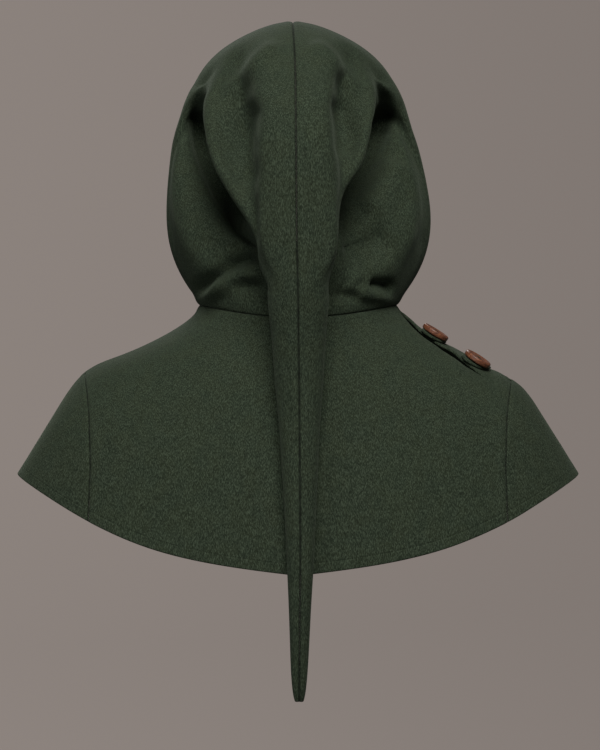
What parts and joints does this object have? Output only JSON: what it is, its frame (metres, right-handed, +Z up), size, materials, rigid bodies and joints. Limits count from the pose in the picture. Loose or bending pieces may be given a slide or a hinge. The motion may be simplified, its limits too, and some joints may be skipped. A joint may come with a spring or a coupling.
{
  "type": "liripipe hood",
  "caption": "Felted wool hood with a long tail hanging down the back, sewn to a short shoulder cape that buttons on one shoulder.",
  "frame": {"origin": "the inside of the crown where it rests on the top of the wearer's head", "axes": "+Z up, the face opening towards -Y, +X the wearer's left"},
  "size_m": [0.5172, 0.2834, 0.6073],
  "materials": {
    "wool": "thick felted wool, dark green with a heathered nap",
    "wood": "satin reddish-brown wood"
  },
  "bodies": {
    "root": {"hood_left": "wool", "hood_right": "wool", "cape_left": "wool", "cape_right": "wool", "gore_left": "wool", "gore_right": "wool", "button_tab_upper": "wool", "button_tab_lower": "wool", "button_upper": "wood", "button_lower": "wood"}
  },
  "joints": []
}
